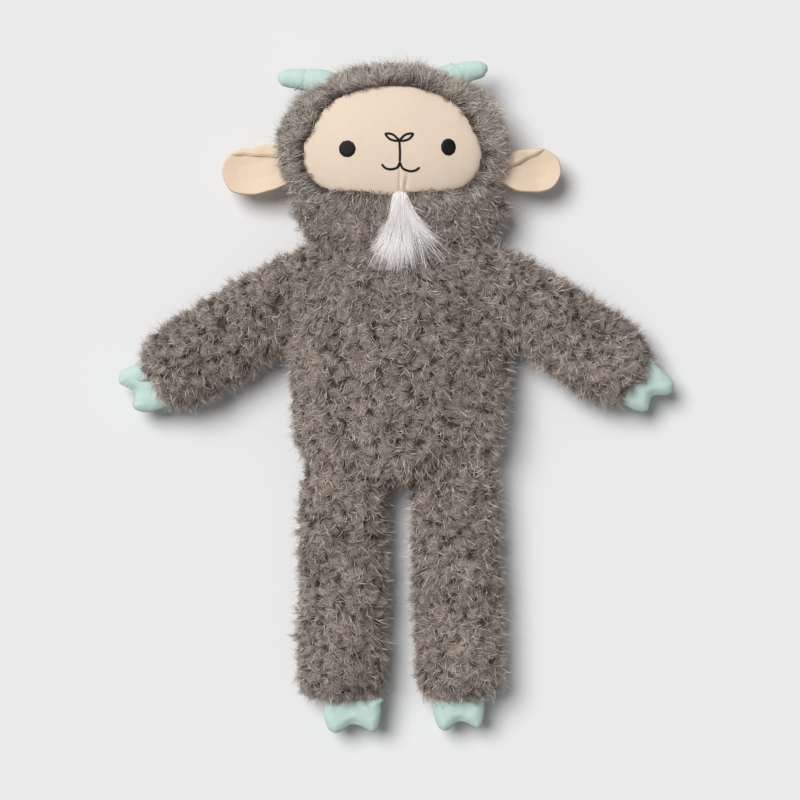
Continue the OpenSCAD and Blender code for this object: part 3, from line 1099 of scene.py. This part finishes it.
def hoof(side, limb):
    """A two-toed hoof of stuffed twill, seamed all round its edge."""
    part, wrist = {"arm": ("hand", "wrist"), "leg": ("foot", "ankle")}[limb]
    at = joint_at(f"{side}_{wrist}_bend")
    axis = next(j["axis"] for j in frame["joints"] if j["name"] == f"{side}_{wrist}_bend")
    way = np.array([-axis[1], axis[0]])
    across = np.array([-way[1], way[0]])
    low, high = box_of(f"{side}_{part}_hoof")
    thick = (high[2] - low[2]) / 2
    corners = node_points(f"{side}_{part}_hoof")[:, :2] - at[:2]
    reach, wide = (corners @ way).max(), (corners @ across).max()
    on, over = FOOT_SHIFT[side] if part == "foot" else (0, 0)
    wide *= FOOT_WIDTH[side] if part == "foot" else 1
    outline = curve_through(np.array(HOOF_SHAPE[part]) * [reach, wide], 9, closed=True)
    if (side, part) == ("left", "hand"):
        outline = outline[::-1] * [1, -1]
    centre = at[:2] + on * way + over * across
    place = centre + outline[:, :1] * way + outline[:, 1:] * across
    heart = centre + way * 0.2 * reach

    def puff(p, gap):
        return thick * HOOF_PLUMP * np.sqrt(np.clip(1 - (1 - np.clip(gap / 0.0080, 0, 1)) ** 2, 0, 1))

    def lie(p):
        return at[2] - HOOF_DROOP * np.maximum((p - at[:2]) @ way, 0)

    def folds(p, gap):
        waves = np.array([noise.noise(Vector((x * 150, y * 150, 3))) for x, y in p])
        pinch = np.exp(-((np.linalg.norm(p - centre - 0.62 * reach * way, axis=1) / 0.004) ** 2))
        return (0.0005 * waves - 0.0016 * pinch) * np.clip(gap / 0.003, 0, 1)

    obj = pillow(
        f"{side}_{part}_twill",
        place,
        heart,
        lambda p, gap: lie(p) + puff(p, gap) + folds(p, gap),
        lambda p, gap: np.maximum(lie(p) - puff(p, gap), 0.001),
        rings=26,
    )
    covers = [f"{side}_{part}_hoof", f"{side}_{part}_filling"]
    finish_piece(obj, TWILL, f"{side}_{part}", "mint_twill", covers)


for side in SIDES:
    for limb in ("arm", "leg"):
        hoof(side, limb)


# ---- Beard ----
# Kinds of lock: how many, the hairs in each, their mean angle, its spread, and the shortest and longest
BEARD_KINDS = [
    (24, 120, 0.0, 0.13, 0.036, 0.062),
    (18, 18, 0.14, 0.27, 0.044, 0.070),
    (60, 1, 0.15, 0.32, 0.035, 0.070),
]


def beard():
    """Long straight white hair sewn in at the chin: a core of fine locks, with wisps and loose hairs
    that stand away from it. It lies along the chest."""
    low, high = box_of("beard_tuft")
    root = np.array([DART_X, high[1] - 0.0010, (low[2] + high[2]) / 2])
    locks = sum(k[0] for k in BEARD_KINDS)
    per = np.concatenate([np.full(k[0], k[1]) for k in BEARD_KINDS])
    angle = np.concatenate([np.clip(rng.normal(k[2], k[3], k[0]), -0.5, 0.75) for k in BEARD_KINDS])
    reach = np.concatenate([rng.uniform(k[4], k[5], k[0]) for k in BEARD_KINDS])
    bend = rng.normal(0, 0.35, locks)
    lock = np.repeat(np.arange(locks), per)
    count = len(lock)
    turn = angle[lock] + rng.normal(0, 0.035, count)
    way = np.stack([np.sin(turn), -np.cos(turn), np.zeros(count)], 1)
    start = root + rng.normal(0, 1, (count, 3)) * [0.0020, 0.0016, 0.0010]
    made, uv = strands(
        start,
        np.tile([0.0, 0.0, 1.0], (count, 1)),
        way,
        reach[lock] * rng.uniform(0.6, 1.05, count),
        np.clip(rng.normal(0.04, 0.05, count), -0.06, 0.13),
        bend[lock] + rng.normal(0, 0.12, count),
        np.clip(rng.normal(0.06, 0.05, count), -0.04, 0.16),
        rng.uniform(0.00018, 0.00032, count),
        rng.uniform(0.55, 1.0, count),
        rows=11,
    )
    finish_piece(ribbons("beard_hairs", made, uv), BEARD_HAIR, "head", "white_fur", ["beard_tuft"])


beard()


# ---- Floor, lights and camera ----
SUN_WAY = (-0.46, 0.42, 1.05)
SUN_POWER = 3.0
SUN_SPREAD = math.radians(34)
ROOM_LIGHT = 0.22
FLOOR_REACH = 3
CAMERA_AT = (0.0047, -0.0051, 2.235)
CAMERA_LENS = 125.3


def sun_light(name, way, power, spread):
    """A soft light from far away, which reaches the whole floor evenly."""
    lamp = bpy.data.lights.new(name, "SUN")
    lamp.energy = power
    lamp.angle = spread
    obj = bpy.data.objects.new(name, lamp)
    bpy.context.scene.collection.objects.link(obj)
    obj.rotation_euler = Vector(way).to_track_quat("Z", "Y").to_euler()


def scene_around():
    """The paper floor, the light and a camera with a long lens straight above."""
    corners = [(x * FLOOR_REACH, y * FLOOR_REACH, 0) for x, y in ((-1, -1), (1, -1), (1, 1), (-1, 1))]
    floor = add("floor", corners, [(0, 1, 2, 3)])
    paper, _, shader = new_material("paper", 0.9, 0.0, 0.1)
    shader.inputs["Base Color"].default_value = (0.80, 0.80, 0.805, 1)
    floor.data.materials.append(paper)
    sun_light("softbox", SUN_WAY, SUN_POWER, SUN_SPREAD)
    world = bpy.data.worlds.new("studio")
    bpy.context.scene.world = world
    world.use_nodes = True
    room = world.node_tree.nodes["Background"]
    room.inputs["Color"].default_value = (1.0, 1.0, 1.0, 1)
    room.inputs["Strength"].default_value = ROOM_LIGHT
    lens = bpy.data.cameras.new("camera")
    lens.sensor_width = 36
    lens.lens = CAMERA_LENS
    eye_point = bpy.data.objects.new("camera", lens)
    eye_point.location = CAMERA_AT
    bpy.context.scene.collection.objects.link(eye_point)
    bpy.context.scene.camera = eye_point
    bpy.context.scene.view_settings.view_transform = "Standard"


scene_around()
